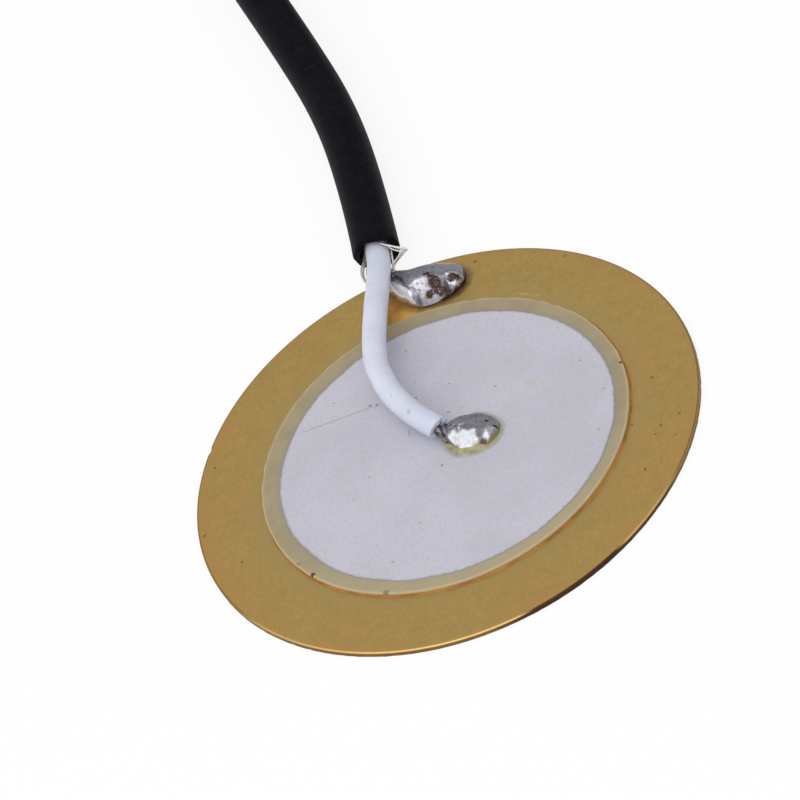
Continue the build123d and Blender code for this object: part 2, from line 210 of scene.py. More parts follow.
def skin(name, finish, grids, nodes, masks=None):
    """Piece made of grids of points in millimetres: each row is a ring that closes on itself, rings next
    to each other are joined by four-sided faces, and rings that have shrunk to a point become poles."""
    quads, first = [], 0
    for grid in grids:
        ring = first + np.arange(grid.shape[0] * grid.shape[1]).reshape(grid.shape[:2])
        onward = np.roll(ring, -1, axis=1)
        quads.append(stack([ring[:-1], onward[:-1], onward[1:], ring[1:]], axis=-1).reshape(-1, 4))
        first += ring.size
    mesh = bpy.data.meshes.new(name)
    mesh.from_pydata(concatenate([g.reshape(-1, 3) for g in grids]) * 1e-3, [], concatenate(quads))
    for mask, values in (masks or {}).items():
        layer = mesh.attributes.new(mask, "FLOAT", "POINT")
        layer.data.foreach_set("value", concatenate([np.ravel(v) for v in values]).astype(np.float32))
    work = bmesh.new()
    work.from_mesh(mesh)
    bmesh.ops.remove_doubles(work, verts=work.verts, dist=2e-7)
    bmesh.ops.dissolve_degenerate(work, edges=work.edges, dist=1e-8)
    bmesh.ops.recalc_face_normals(work, faces=work.faces)
    work.to_mesh(mesh)
    work.free()
    mesh.shade_smooth()
    mesh.set_sharp_from_angle(angle=radians(40))
    mesh.materials.append(finish)
    piece = placed(name, mesh)
    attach(piece, "root")
    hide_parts(*nodes)
    return piece


plate_radius, plate_top, edge_round, low_chamfer = 13.5, 0.3, 0.09, 0.03
nick_at, nick_width, nick_depth = radians(149.5), 0.01, 0.16
arc = linspace(0, pi / 2, 7)
round_at = array([plate_radius, plate_top]) - edge_round
plate_profile = concatenate([
    [(0, 0), (plate_radius - 0.5, 0), (plate_radius - low_chamfer, 0)],
    [(plate_radius, low_chamfer), (plate_radius, 0.12)],
    round_at + edge_round * stack([cos(arc), sin(arc)], axis=-1),
    [(plate_radius - 0.4, plate_top), (11, plate_top), (0, plate_top)],
])
profile_radius, profile_height = plate_profile[:, :1], plate_profile[:, 1:]
on_side = exp(-((profile_radius - plate_radius) / 0.06) ** 2) * (profile_radius > 13)
nick = exp(-((full_turn - nick_at) / nick_width) ** 2)
ragged = 0.004 * waver(full_turn, 40, 160, 3) + 0.005 * waver(full_turn, 3, 12, 4)
plate_swell = on_side * (ragged * (profile_height < 0.2) - nick_depth * nick)

brass, spot = start_finish("satin_brass", Metallic=0.9)
from_axis, height, heading = spot.from_axis(), spot.part("Z"), spot.vector("NORMALIZE")
cloud = spot.noise(170, 3).step(0.36, 0.64)
fine_cloud = spot.noise(1300, 3, 0.6).step(0.34, 0.66)
grain = spot.vector("MULTIPLY", (1, 0.45, 1)).noise(8000, 2, 0.6)
near_ceramic = 1 - from_axis.step(0.0099, 0.0113)
to_rim = from_axis.step(0.0122, 0.0135)
# Golden stain by the core, painted lighter than the stain itself to stand in for light where the core shades
# it.
stain_and_painted_light = spot.spots([(0.04, 10.9, 0.8), (-0.1, 10.3, 0.6), (0.5, 10.35, 0.5), (-0.25, 11.55, 0.5)], 0.5)
near_shade_way, burr_shade_way, edge_highlight_way = ((cos(radians(a)), sin(radians(a)), 0) for a in (-66, -73, -98))
# The low side wall is darkened as tarnish with painted shade; on the near side a darker band of tarnish and
# painted shade covers the burr up to the edge.
low_side_tarnish_and_shade = (1 - height.step(0.00019, 0.00027)) * from_axis.step(0.01335, 0.01345)
near_side_tarnish_and_shade = low_side_tarnish_and_shade * heading.toward(near_shade_way).step(0.885, 0.94)
# Rolled edge: brown, with a painted gold highlight on the near side.
rolled_edge = from_axis.step(0.01338, 0.01343) * height.step(0.00024, 0.00028)
painted_edge_highlight = heading.toward(edge_highlight_way).step(0.48, 0.64)
burr_tarnish_and_shade = heading.toward(burr_shade_way).step(0.966, 0.985) * from_axis.step(0.01337, 0.01345)
plate_specks = spot.spots([
    (10.54, -5, 0.13), (9.04, -7.49, 0.12), (11.6, -4.72, 0.1), (11.06, -6.06, 0.1),
    (10.13, -5.45, 0.08), (9.19, -4.13, 0.1), (4.53, 11.99, 0.12), (9.01, 9.56, 0.1),
    (10.97, -1.53, 0.1), (-11.62, 5.51, 0.1), (-13.12, 1.09, 0.12), (-11.66, -1.81, 0.1),
])
smear = spot.streak((5.9, 8.1), (7.3, 7.1), 0.42)
# Thread and lumps of squeezed glue on the brass, painted light as their glint: glue with a painted
# highlight.
glue_lumps_and_glint = spot.spots([(7.2, 7.46, 0.15), (6.88, 7.74, 0.11)], 0.5)
glue_thread_and_glint = spot.streak((5.95, 8.44), (7.41, 7.3), 0.09).most(glue_lumps_and_glint)
glue_thread_and_glint = glue_thread_and_glint * spot.noise(3000, 3, 0.7).step(0.42, 0.6)
paint(
    brass, Base_Color=coated(
        cloud.blend((194, 163, 96), (199, 160, 92)),
        (fine_cloud, 0.75, (182, 155, 92)),
        (grain.step(0.36, 0.72), 0.32, (166, 134, 76)),
        (near_ceramic, 0.6, (182, 160, 104)),
        (to_rim * cloud, 0.5, (196, 148, 86)),
        # Stain with painted light.
        (stain_and_painted_light, 0.8, (248, 194, 104)),
        # Tarnish and painted shade on the low side, deepest on the near side and over the burr.
        (low_side_tarnish_and_shade, 0.8, (112, 80, 48)),
        (near_side_tarnish_and_shade, 0.9, (80, 58, 44)),
        # Painted highlight along the rolled edge on the near side, brown elsewhere.
        (rolled_edge, 0.65, painted_edge_highlight.blend((124, 88, 56), (238, 198, 124))),
        (burr_tarnish_and_shade, 1, (74, 52, 38)),
        (plate_specks, 0.5, (92, 66, 44)),
        (smear, 0.35, (214, 190, 130)),
        # Glue thread with its painted highlight.
        (glue_thread_and_glint, 0.55, (234, 198, 120)),
    ),
    Roughness=0.42 + 0.1 * fine_cloud + 0.18 * low_side_tarnish_and_shade - 0.2 * smear - 0.1 * rolled_edge,
    Normal=(grain + 0.8 * spot.noise(2600, 3)).bump(0.000014, 0.6),
)
skin("plate", brass, [turned(plate_profile, plate_swell)], ["brass_plate"])


# Glue: hardened amber epoxy that holds the ceramic on the plate, pressed out in a thin uneven bead
# round the ceramic's wall.

glue_radius, glue_top, bead_foot, bead_wide, bead_tall = 9.85, 0.32, 9.97, 0.12, 0.1
bead = linspace(0, pi / 2, 8)[1:, None]
glue_profile = concatenate([
    [(0, plate_top), (9.7, plate_top), (bead_foot, plate_top)],
    np.hstack([bead_foot - bead_wide * sin(bead), plate_top + bead_tall - bead_tall * cos(bead)]),
    [(glue_radius, glue_top), (0, glue_top)],
])
squeeze = clip((glue_profile[:, :1] - glue_radius) / bead_wide, 0, 1)
glue_waver = 0.016 * waver(full_turn, 2, 14, 7) + 0.01 * waver(full_turn, 20, 60, 8)
glue_swell = squeeze * (glue_waver - 0.03 - 0.04 * cos(full_turn - 2.6))

glue, spot = start_finish("amber_glue", IOR=1.5, Specular_IOR_Level=0.25)
thick = spot.noise(600, 3).step(0.4, 0.62)
paint(
    glue, Base_Color=thick.blend((172, 120, 52), (150, 96, 38)),
    Roughness=0.28 + 0.2 * thick,
    Normal=spot.noise(3000, 2).bump(0.00002, 0.5),
)
skin("glue_bead", glue, [turned(glue_profile, glue_swell)], ["bond_layer"])


# Ceramic: a lapped disc of fired lead zirconate, the element that makes the signal; its ground edge
# is a little chipped, and the silver was printed on it a little off its middle.

ceramic_radius, ceramic_base, ceramic_top = 9.85, 0.335, 0.525
film_centre = (0.11, -0.13)
ceramic_profile = array([
    (0, ceramic_base), (ceramic_radius - 0.02, ceramic_base), (ceramic_radius, ceramic_base + 0.02),
    (ceramic_radius, ceramic_top - 0.03), (ceramic_radius - 0.01, ceramic_top - 0.01),
    (ceramic_radius - 0.04, ceramic_top), (9.7, ceramic_top), (9.4, ceramic_top), (8.6, ceramic_top),
    (0, ceramic_top),
])
chip_rows = (
    (-121.7, 0.1, 0.012), (-104, 0.05, 0.008), (-149, 0.06, 0.01), (1, 0.05, 0.006), (-60, 0.04, 0.012)
)
chips = sum(
    depth * exp(-((np.angle(exp(1j * (full_turn - radians(angle))))) / width) ** 2)
    for angle, depth, width in chip_rows
)
upper_edge = exp(-((ceramic_profile[:, :1] - ceramic_radius) / 0.06) ** 2) * (ceramic_profile[:, 1:] > 0.45)
ceramic_swell = upper_edge * (0.012 * waver(full_turn, 8, 70, 11) - chips)

ceramic, spot = start_finish("fired_ceramic", IOR=1.6)
from_axis = spot.from_axis()
from_film = spot.vector("SUBTRACT", (film_centre[0] * 1e-3, film_centre[1] * 1e-3, 0)).from_axis()
cloud = spot.noise(900, 3, 0.55).step(0.34, 0.66)
sand = spot.noise(7000, 2, 0.6)
paint(
    ceramic, Base_Color=coated(
        cloud.blend((160, 146, 115), (152, 138, 107)),
        # Grey band on the ceramic next to the silver: painted shade.
        (1 - from_film.step(0.00896, 0.0094), 0.55, (140, 134, 122)),
        (from_axis.step(0.00955, 0.00985), 0.45, (174, 156, 112)),
        # Lighter towards the near side: painted light.
        (1 - spot.part("Y").step(-0.0095, -0.002), 0.55, (176, 162, 126)),
        # Bright thin line round the ceramic's edge: painted highlight.
        (from_axis.step(0.00974, 0.00983), 0.6, (196, 182, 140)),
        (spot.spots([(-8.36, -5, 0.16), (9.75, 0.18, 0.09)]), 1, (48, 42, 40)),
        (spot.spots([(-5.15, -8.33, 0.22), (-8.91, -3.9, 0.14)]), 0.7, (112, 108, 104)),
    ),
    Roughness=0.5 + 0.2 * sand,
    Normal=sand.bump(0.000006, 0.4),
)
skin("ceramic", ceramic, [turned(ceramic_profile, ceramic_swell)], ["ceramic_disc"])


# Silver films: silver paste printed on both faces of the ceramic and fired to a matte skin. The upper
# one stops short of the ceramic's edge, and tools and the iron have scratched and specked it.

film_radius, film_base, film_top = 9, 0.525, 0.54
film_profile = array([
    (0, film_base), (film_radius, film_base), (film_radius, film_top - 0.005),
    (film_radius - 0.006, film_top), (film_radius - 0.05, film_top), (film_radius - 0.14, film_top),
    (8.3, film_top), (0, film_top),
])
# Mask of a thin dark line along the silver's edge, which is painted shade.
film_edge_shade = array([0, 1, 1, 0.95, 0.5, 0, 0, 0])[:, None] + 0 * full_turn
film_waver = 0.018 * waver(full_turn, 3, 24, 21) + 0.01 * waver(full_turn, 40, 120, 22)
film_swell = (film_profile[:, :1] > 8.5) * film_waver

silver, spot = start_finish("fired_silver", Metallic=0.3, IOR=1.5)
sand = spot.noise(7000, 3, 0.6)
patch = spot.noise(220, 3).step(0.36, 0.64)
scratch = 0
for share, start, end in (
    (1, (-6.79, 5.03), (-2.35, 4.59)), (0.5, (-1.39, 7.87), (-0.2, 8.04)),
    (0.5, (-4.41, 1.95), (-3.8, 1.72)), (1.2, (-1.43, 2.05), (-1.58, 1.4)),
):
    scratch = share * spot.streak(start, end, 0.06) + scratch
dark_marks = spot.spots([
    (-2.98, 4.78, 0.1), (-2.62, 4.63, 0.1), (3.41, 2.3, 0.09), (7.88, 1.53, 0.08), (1.22, 3.9, 0.08),
    (8.54, -1.08, 0.09), (7.6, -3.65, 0.08), (-4.7, 6.06, 0.08), (-5.24, -1.18, 0.07),
    (-4.35, -6.49, 0.08), (-0.33, 7.55, 0.08), (-0.4, 5.05, 0.07), (-0.62, 3.93, 0.07),
    (0.7, 1.96, 0.08), (-4.16, -0.09, 0.07), (-2.45, -4.66, 0.07), (-0.47, -1.47, 0.1),
])
paint(
    silver, Base_Color=coated(
        patch.blend((205, 203, 214), (198, 196, 206)),
        (sand.step(0.4, 0.75), 0.5, (180, 178, 188)),
        # Painted shade along the silver's edge.
        (spot.mask("edge"), 0.8, (122, 114, 112)),
        (scratch, 0.4, (140, 136, 140)),
        (dark_marks, 0.6, (112, 100, 92)),
        (spot.spots([(5.12, 1.49, 0.45)], 0.5), 0.3, (196, 186, 150)),
    ),
    Roughness=0.5 + 0.12 * patch - 0.12 * scratch,
    Normal=(sand - 0.6 * scratch).bump(0.000012, 0.55),
)
skin(
    "silver_top", silver, [turned(film_profile, film_swell, film_centre)],
    ["upper_electrode"], {"edge": [film_edge_shade]},
)
under_film = array([(0, glue_top), (9.85, glue_top), (9.85, ceramic_base), (0, ceramic_base)])
skin(
    "silver_under", silver, [turned(under_film)], ["lower_electrode"],
    {"edge": [np.zeros((4, full_turn.size))]},
)


# Lead: thin shielded cable in an extruded black jacket, cut back by hand so that its mouth is ragged.
# It runs off over the surface the disc lies on, and its spare length is wound in a flat coil.

up = array([0, 0, 1.0])


def smooth_line(points, resolution=10):
    """Points along one open NURBS line with these control points, in millimetres."""
    curve = bpy.data.curves.new("line", "CURVE")
    curve.dimensions = "3D"
    curve.resolution_u = resolution
    spline = curve.splines.new("NURBS")
    spline.points.add(len(points) - 1)
    spline.points.foreach_set("co", np.column_stack([points, np.ones(len(points))]).ravel())
    spline.order_u = 3
    spline.use_endpoint_u = True
    holder = bpy.data.objects.new("line", curve)
    traced = bpy.data.meshes.new_from_object(holder)
    line = np.empty(3 * len(traced.vertices))
    traced.vertices.foreach_get("co", line)
    bpy.data.objects.remove(holder)
    bpy.data.curves.remove(curve)
    bpy.data.meshes.remove(traced)
    return line.reshape(-1, 3)


def unit(vectors):
    """Vectors with their lengths made one."""
    return vectors / np.linalg.norm(vectors, axis=-1, keepdims=True)


def along(line):
    """Directions of a line at its points: its run, its level side and its lift."""
    run = unit(np.gradient(line, axis=0))
    side = unit(np.cross(run, up))
    return run, side, np.cross(side, run)


def tube(line, radius, around):
    """Grid of rings round a line, each square to it: the radius may differ from ring to ring and round
    each ring."""
    run, side, lift = along(line)
    turn = round_turn(around)[:, None]
    radius = np.broadcast_to(radius, (len(line), around))[..., None]
    return line[:, None] + radius * (side[:, None] * cos(turn) + lift[:, None] * sin(turn))


def ringed(middle, axes, turn, ahead, radius):
    """Grid of rings round a straight axis: how far each point lies ahead of the middle, and how far from
    the axis."""
    run, side, lift = axes
    spokes = side * cos(turn)[:, None] + lift * sin(turn)[:, None]
    return middle + run * (ahead + 0 * turn)[..., None] + (radius + 0 * turn)[..., None] * spokes


jacket_radius, bore_radius, mouth_depth = 1.2, 0.84, 2
lead_points = [(0, 14.83), (0.33, 20.03), (0.28, 26.53), (-0.77, 33.53), (-2.27, 41.93), (-3.25, 49.93)]
lead_run = unit(np.subtract(lead_points[-1], lead_points[-2]))
lead_left = array([-lead_run[1], lead_run[0]])
coil_radius, half_turns, half_steps = 15.4, 6, 12
coil_middle = array(lead_points[-1]) - lead_left * coil_radius
for step in range(1, half_turns * half_steps + 1):
    half = (step - 1) // half_steps
    phase = (step - 0.5) * pi / half_steps
    middle = coil_middle - lead_left * jacket_radius * (half % 2)
    reach = (coil_radius - jacket_radius * half) / cos(pi / half_steps / 2)
    lead_points.append(tuple(middle + (lead_left * cos(phase) + lead_run * sin(phase)) * reach))
coil_end = coil_middle + lead_left * (coil_radius - jacket_radius * half_turns)
lead_points.append(tuple(coil_end))
lead_line = smooth_line([(x, y, jacket_radius) for x, y in lead_points])

mouth_turn = round_turn(48)
torn = 0.05 * waver(mouth_turn, 2, 5, 31) + 0.03 * waver(mouth_turn, 6, 14, 32) - 0.15 * sin(mouth_turn)
leftward = clip(-cos(mouth_turn), 0, 1)
left_flare = 0.045
mouth_ahead, mouth_radius, mouth_torn = array([
    (mouth_depth, 0, 0), (mouth_depth, bore_radius, 0), (0.5, bore_radius, 0.3), (0.04, bore_radius, 1),
    (-0.06, bore_radius + 0.06, 1), (-0.1, jacket_radius - 0.06, 1), (-0.06, jacket_radius + 0.01, 0.9),
    (0.06, jacket_radius + 0.035, 0.7),
]).T[..., None]
mouth_swell = mouth_torn * (0.012 * waver(mouth_turn, 3, 9, 33) + left_flare * leftward)
mouth_grid = ringed(
    lead_line[0], [way[0] for way in along(lead_line)], mouth_turn,
    mouth_ahead + torn * mouth_torn, mouth_radius * (1 + mouth_swell),
)
length_so_far = concatenate([[0], np.cumsum(np.linalg.norm(np.diff(lead_line, axis=0), axis=1))])
past_mouth = length_so_far > 0.45
lead_way = length_so_far[past_mouth][:, None]
flare = 1 + 0.03 * exp(-lead_way / 8) + left_flare * exp(-lead_way / 1.6) * leftward
lead_body = tube(lead_line[past_mouth], jacket_radius * flare, mouth_turn.size)
lead_cap = stack([lead_body[-1] * s + lead_line[-1] * (1 - s) for s in (0.97, 0.55, 0)])
lead_cap += array([0.05, 0.06, 0.06])[:, None, None] * along(lead_line)[0][-1]

jacket_grid = concatenate([mouth_grid, lead_body, lead_cap])
jacket_grid[..., 2] = maximum(jacket_grid[..., 2], 0.003)

jacket_plastic, spot = start_finish("black_jacket", IOR=1.5, Specular_IOR_Level=0.05)
wear = spot.noise(1500, 4, 0.65)
dust = spot.noise(9000, 2, 0.7).step(0.62, 0.72)
paint(
    jacket_plastic,
    Base_Color=(0.12 * dust).blend(wear.step(0.35, 0.7).blend((9, 9, 15), (16, 16, 23)), (120, 118, 118)),
    Roughness=0.42 + 0.25 * wear,
    Normal=(wear + 0.5 * spot.noise(6000, 2)).bump(0.00002, 0.5),
)
jacket = skin("jacket", jacket_plastic, [jacket_grid], ["cable_jacket", "cable_coil"])


# Core: the lead's inner wire in its smooth white plastic, bared from the jacket to the joint in the
# middle, where a knife cut it at a slant and the iron softened its end.

core_radius = 0.625
core_line = smooth_line([
    (0.13, 16.83, 1.2), (0.01, 14.36, 1.12), (-0.43, 11.99, 1.62), (-0.92, 9.88, 2),
    (-1.7, 7.02, 2.02), (-1.88, 5.2, 1.99), (-1.32, 2.31, 1.68), (0.02, 0.52, 1.2),
], 16)
core_turn = round_turn(48)
core_body = tube(core_line, core_radius, core_turn.size)
core_way = linspace(0, 1, len(core_line))[:, None]
core_end = core_line[-1]
end_run, end_side, end_lift = end_axes = [way[-1] for way in along(core_line)]
core_body += (0.006 * waver(core_way * 2 * pi, 2, 9, 41))[..., None] * end_side
slant = 0.1 * cos(core_turn - 2.2) + 0.03 * waver(core_turn, 2, 6, 42)
cut_ahead, cut_size, cut_slant = array([
    (-0.01, 0.998, 0.9), (0.03, 0.97, 1), (0.035, 0.8, 1), (0.03, 0.46, 1), (-0.1, 0.43, 0.5), (-0.16, 0, 0)
]).T[..., None]
core_cut = ringed(core_end, end_axes, core_turn, cut_ahead + slant * cut_slant, core_radius * cut_size)
core_start = core_line[0] + 0 * core_body[:1]

core_plastic, spot = start_finish(
    "white_core", IOR=1.5, Subsurface_Weight=0.25, Subsurface_Radius=(0.0006, 0.0006, 0.0008),
    Subsurface_Scale=1,
)
waxy = spot.noise(700, 3)
# The core is painted darker and bluer near the joint: painted shade.
shaded_by_joint = 1 - spot.part("Y").step(0.0005, 0.0045)
paint(
    core_plastic, Base_Color=coated(
        waxy.step(0.35, 0.65).blend((214, 218, 232), (207, 211, 226)),
        (spot.noise(5000, 2).step(0.66, 0.76), 0.45, (170, 168, 168)),
        (spot.spots([(-1, 1.55, 0.16), (-1.55, 2.9, 0.08)]), 0.5, (120, 122, 134)),
        (shaded_by_joint, 0.5, (192, 198, 216)),
    ),
    Roughness=0.34 + 0.2 * waxy,
    Normal=(waxy + 0.25 * spot.noise(6000, 2)).bump(0.00002, 0.35),
)
skin(
    "core", core_plastic, [concatenate([core_start, core_body[:-1], core_cut])],
    ["core_insulation"],
)


# Conductor: seven tinned copper strands, bared for a millimetre at the core's end and bent down into
# the centre joint, where the solder has run up them.

def rod(line, radius, around):
    """Grid of a tube whose ends are drawn together to points."""
    body = tube(line, radius, around)
    return concatenate([line[0] + 0 * body[:1], body, line[-1] + 0 * body[:1]])


def wire(points, diameter):
    """Thin wire along a smooth line."""
    return rod(smooth_line(points, 8), diameter / 2, 10)


def tinned_finish(name, copper_share, tin, copper):
    """Tinned wire on which copper shows through where the tin is thin."""
    finish, spot = start_finish(name, Metallic=0.95)
    worn = spot.noise(5000, 3).step(0.4, 0.62)
    paint(
        finish,
        Base_Color=(copper_share * worn).blend(tin, copper),
        Roughness=0.26 + 0.22 * worn,
        Normal=spot.noise(12000, 2).bump(0.000008, 0.6),
    )
    return finish


coppery = tinned_finish("coppery_strands", 0.9, (172, 150, 132), (84, 52, 36))
strand_ring = [(0, 0)] + [(0.17 * cos(a), 0.17 * sin(a)) for a in np.arange(6) * pi / 3]
conductor_wires = []
for number, (aside, above) in enumerate(strand_ring):
    off_side, off_lift = aside * end_side, above * end_lift
    spread = 1 + 0.25 * (number % 3)
    root, leaves = core_end - 0.25 * end_run + off_side + off_lift, core_end + off_side + off_lift
    shown = core_end + 0.34 * end_run + spread * (off_side + 0.6 * off_lift) - 0.1 * up
    tip = core_end + (0.9 + 0.05 * number) * end_run + 1.3 * off_side + 0.3 * off_lift - 0.44 * up
    conductor_wires.append(wire([root, leaves, shown, tip], 0.14))
skin("conductor", coppery, conductor_wires, ["conductor_strands"])


# Shield: fine tinned strands braided round the core. The braid is combed out at the mouth, and most of
# it is twisted into a pigtail under the core, while single strands loop and kink beside it.

def twisted(start, end, radius, strands, twist, thin, middle_thin):
    """Cord of strands twisted round a straight middle one, each a helix with its own start angle."""
    share = linspace(0, 1, 40)[:, None]
    axis = array(start) + share * np.subtract(end, start)
    run, side, lift = along(axis)
    lines = []
    for number in range(strands):
        angle = 2 * pi * number / strands + radians(twist) * share
        lines.append(axis + 0.6 * radius * (side * cos(angle) + lift * sin(angle)))
    return [rod(line, thin / 2, 10) for line in lines] + [rod(axis, middle_thin / 2, 10)]


mouth = array([0, 14.83, 1.2])
mouth_in = unit(array([0.33, 5.2, 0]))
mouth_right = array([mouth_in[1], -mouth_in[0], 0])


def by_mouth(right, above, out):
    """Point given by millimetres to the right of the mouth's middle, above it and out of it."""
    return mouth + right * mouth_right + above * up - out * mouth_in


rim_turn, rim_reach = radians(9.7), 11.675
rim_along = array([cos(rim_turn), -sin(rim_turn), 0])
rim_out = array([sin(rim_turn), cos(rim_turn), 0])
rim_middle = rim_reach * rim_out + plate_top * up
rim_length, rim_width, rim_height = 3.9, 2.5545, 1.05


def in_rim(along_share, out_share, height_share):
    """Point in the rim joint by shares of its half length, half width and height."""
    sideways = along_share * rim_length / 2 * rim_along + out_share * rim_width / 2 * rim_out
    return rim_middle + sideways + height_share * rim_height * up


tinned = tinned_finish("tinned_strands", 0.25, (222, 219, 214), (176, 122, 92))
braid_in, braid_out, braid_radius, braid_inside = 2, 1.15, 0.8, 0.66
braid_axes = (mouth_in, mouth_right, up)
braid_depth = linspace(braid_in, braid_out, 30)[:, None]
weave = sin(9 * mouth_turn + 7 * braid_depth) * sin(9 * mouth_turn - 7 * braid_depth)
braid_outer = ringed(mouth, braid_axes, mouth_turn, braid_depth, braid_radius + 0.02 * weave)
braid_inner = ringed(mouth, braid_axes, mouth_turn, array([[braid_out], [braid_in]]), braid_inside)
braid_grid = concatenate([braid_outer, braid_inner, braid_outer[:1]])
skin("braid", tinned, [braid_grid], ["shield_braid"])

pigtail_start, pigtail_end = by_mouth(-0.08, -0.84, 0.4), in_rim(-0.94, 1.2, 0.23 / rim_height)
skin(
    "pigtail", tinned, twisted(pigtail_start, pigtail_end, 0.21, 7, 200, 0.13, 0.13),
    ["shield_pigtail"],
)


def leaves_braid(angle):
    """Two points of a strand: inside the mouth, and clear of it, at an angle round the core."""
    reach, angle = 0.7325, radians(angle)
    aside, above = reach * cos(angle), reach * sin(angle)
    return [by_mouth(aside, above, -0.65), by_mouth(aside, above, 0.15)]


loose, strand_thick, strand_fine = [], 0.11, 0.09
for angle, aside in ((-45, 0.1), (-62, 0.06), (-90, 0), (-112, -0.06), (-135, -0.1)):
    seat = pigtail_start + aside * mouth_right + 0.02 * up
    bend = by_mouth(aside * 1.6 - 0.04, -0.7, 0.26)
    loose.append(wire(leaves_braid(angle) + [bend, seat], strand_thick))
for angle, first, second, seat in (
    (-165, (-1.13, -0.26, 1.06), (-0.88, -0.66, 2.08), (-0.8, 0.2, 0.3)),
    (-174, (-1.2, -0.12, 0.98), (-0.98, -0.56, 1.95), (-0.8, 0.32, 0.3)),
    (-150, (-0.98, -0.46, 1.01), (-0.72, -0.72, 1.78), (-0.74, 0.62, 0.3)),
):
    loop = [by_mouth(*first), by_mouth(*second), in_rim(*seat)]
    loose.append(wire(leaves_braid(angle) + loop, strand_thick))
for angle, rise, kink, fall in (
    (57, (0.62, 0.62, 0.5), (1.62, 0.25, 1.05), (1.05, -0.05, 1.05)),
    (72, (0.55, 0.66, 0.46), (1.54, 0.2, 1.02), (0.98, -0.12, 1.08)),
    (64, (0.9, 0.52, 0.66), (1.58, 0.3, 1), (1.12, -0.02, 0.98)),
    (44, (0.85, 0.4, 0.78), (1.32, 0.18, 0.98), (0.86, -0.2, 1.02)),
):
    tip = by_mouth(*kink)
    back = [by_mouth(*fall), by_mouth(0.6, -0.48, 0.95), pigtail_end + 0.1 * up]
    loose.append(wire(leaves_braid(angle) + [by_mouth(*rise), tip, tip] + back, strand_fine))
droop = [by_mouth(0.71, 0, 0.62), by_mouth(0.62, -0.3, 0.95), by_mouth(0.5, -0.5, 1.15)]
loose.append(wire(leaves_braid(2) + droop + [in_rim(-0.85, 0.75, 0.3)], strand_thick))
skin("loose_strands", tinned, loose, ["shield_strands"])


# Centre joint: a blob of lead solder, frozen with flat facets, a crinkled dull crown and pits where flux
# burnt out of it, in a halo of clear yellow rosin. Its lit facets and beads carry painted highlight, and
# its front painted shade.

def lowest(levels, softness):
    """Lowest of several heights, with its corners rounded over about the softness."""
    levels = stack(np.broadcast_arrays(*levels))
    return -softness * np.log(exp(-levels / softness).sum(axis=0))


def fade(past, softness):
    """One before a line, a half on it and zero past it: 1 / (1 + e to the power past / softness)."""
    return 1 / (1 + exp(clip(past / softness, -30, 30)))


def hump(x, y, size_x, size_y):
    """Bell that is one at the origin: e to the power of minus the squares of x and y by its sizes."""
    return exp(-(x / size_x) ** 2 - (y / size_y) ** 2)


def inside(x, y, corners, softness=0.025):
    """One inside a convex outline, given by its corners clockwise, and fading out over its edges."""
    depth = np.inf
    for (x1, y1), (x2, y2) in zip(corners, corners[1:] + corners[:1]):
        off_edge = (x - x1) * (y2 - y1) - (y - y1) * (x2 - x1)
        depth = np.minimum(depth, off_edge / hypot(x2 - x1, y2 - y1))
    return fade(-depth, softness)


def crinkle(x, y, fineness, seed):
    """Random ripples over a plane: waves in all directions, with fineness waves to a millimetre."""
    count, rng = 14, np.random.default_rng(seed)
    heading = rng.uniform(0, 2 * pi, count)
    pace = 2 * pi * fineness * rng.uniform(0.6, 1.5, count)
    phase = rng.uniform(0, 2 * pi, count)
    waves = sin(
        np.multiply.outer(x, pace * cos(heading)) + np.multiply.outer(y, pace * sin(heading)) + phase
    )
    return waves.sum(axis=-1) / np.sqrt(count / 2)


def shaken(x, y, by, fineness, seed):
    """Places moved about by ripples, so that an outline drawn with them is uneven."""
    return x + by * crinkle(x, y, fineness, seed), y + by * crinkle(x, y, fineness, seed + 1)


def drop(stations):
    """Drop of solder in its own coordinates, by stations along it: place, middle, half width and height.
    They are joined smoothly, and each section is an oval that is widest a little above the metal."""
    stations, widest = array(stations), 0.22
    plan = smooth_line(stations[:, :3], 14)
    height = smooth_line(stations[:, [0, 3, 3]], 14)[:, 1:2]
    dip = np.arcsin(widest / (1 - widest))
    turn = linspace(pi + dip, -dip, 130)
    x = plan[:, :1] + 0 * turn
    y = plan[:, 1:2] + plan[:, 2:] * cos(turn)
    return x, y, clip(height * (widest + (1 - widest) * sin(turn)), 0, None)


def seated(x, y, z, seat):
    """Points in a joint's own axes, put in their place: its middle, its long way, its wide way and up."""
    middle, long_way, wide_way = seat
    return middle + x[..., None] * long_way + y[..., None] * wide_way + z[..., None] * up


under_points = 24


def topside(values):
    """Values on a drop's upper side, with zeros for the run along the metal."""
    return concatenate([values, np.zeros((len(values), under_points))], axis=1)


def on_metal(x, y, z, seat):
    """Grid of a drop in its place, each ring closed by a straight run along the metal."""
    back = linspace(0, 1, under_points + 2)[1:-1]
    y = concatenate([y, y[:, -1:] * (1 - back) + y[:, :1] * back], axis=1)
    x = concatenate([x, x[:, :1] + 0 * y[:, -under_points:]], axis=1)
    return seated(x, y, topside(clip(z, 0, None)), seat)


def film(reach_x, reach_y, middle, seat, climb):
    """Thin film round a joint: its outline by angle, an edge that thins out, and an inner part that climbs
    the solder; and how thick it is."""
    thickness, gap = 0.03, 0.002
    share = concatenate([[0, 1], linspace(1, 0.66, 18), [0.5, 0]])[:, None]
    upper = (np.arange(share.size) > 1)[:, None]
    depth = clip((1 - share) / 0.3, 0, 1) ** 0.7 * upper
    x, y = middle[0] + share * reach_x, middle[1] + share * reach_y
    z = thickness * depth + climb * upper * clip((0.86 - share) / 0.2, 0, 1) ** 2 + gap + 0 * x
    return seated(x, y, z, seat), depth + 0 * x


